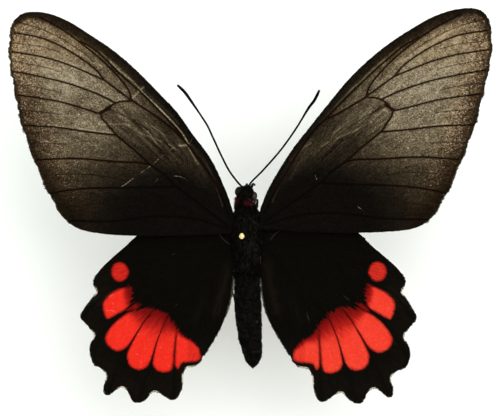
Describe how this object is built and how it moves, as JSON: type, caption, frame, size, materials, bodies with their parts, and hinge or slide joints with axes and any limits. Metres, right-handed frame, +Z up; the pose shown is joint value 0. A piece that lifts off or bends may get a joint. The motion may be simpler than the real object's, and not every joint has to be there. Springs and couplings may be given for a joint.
{
  "type": "parides orellana",
  "caption": "Pinned, spread swallowtail butterfly with broad black wings, red hindwing patches and scalloped margins, on a museum pin in a plain block.",
  "frame": {"origin": "on the floor under the thorax, on the underside of the block, beside the pin's axis", "axes": "+X to the viewer's right seen from above, across the wings; +Y towards the head; +Z up, towards the pin's head"},
  "size_m": [0.0965, 0.0789, 0.04],
  "materials": {
    "forewing": "thinly scaled translucent membrane, grey-brown to black",
    "hindwing": "densely scaled, velvet black with red patches",
    "body": "black hair and scales",
    "limb": "dark chitin with fine scales",
    "eye": "dried compound eye, semi-gloss",
    "pin": "polished",
    "stand": "painted matt white"
  },
  "bodies": {
    "root": {"abdomen": "body", "antenna_left": "limb", "antenna_right": "limb", "eye_left": "eye", "eye_right": "eye", "foreleg_left": "limb", "foreleg_right": "limb", "forewing_left": "forewing", "forewing_right": "forewing", "head": "body", "hindleg_left": "limb", "hindleg_right": "limb", "hindwing_left": "hindwing", "hindwing_right": "hindwing", "midleg_left": "limb", "midleg_right": "limb", "palp_left": "limb", "palp_right": "limb", "pin": "pin", "proboscis": "limb", "prothorax": "body", "stand_base": "stand", "thorax": "body"}
  },
  "joints": []
}
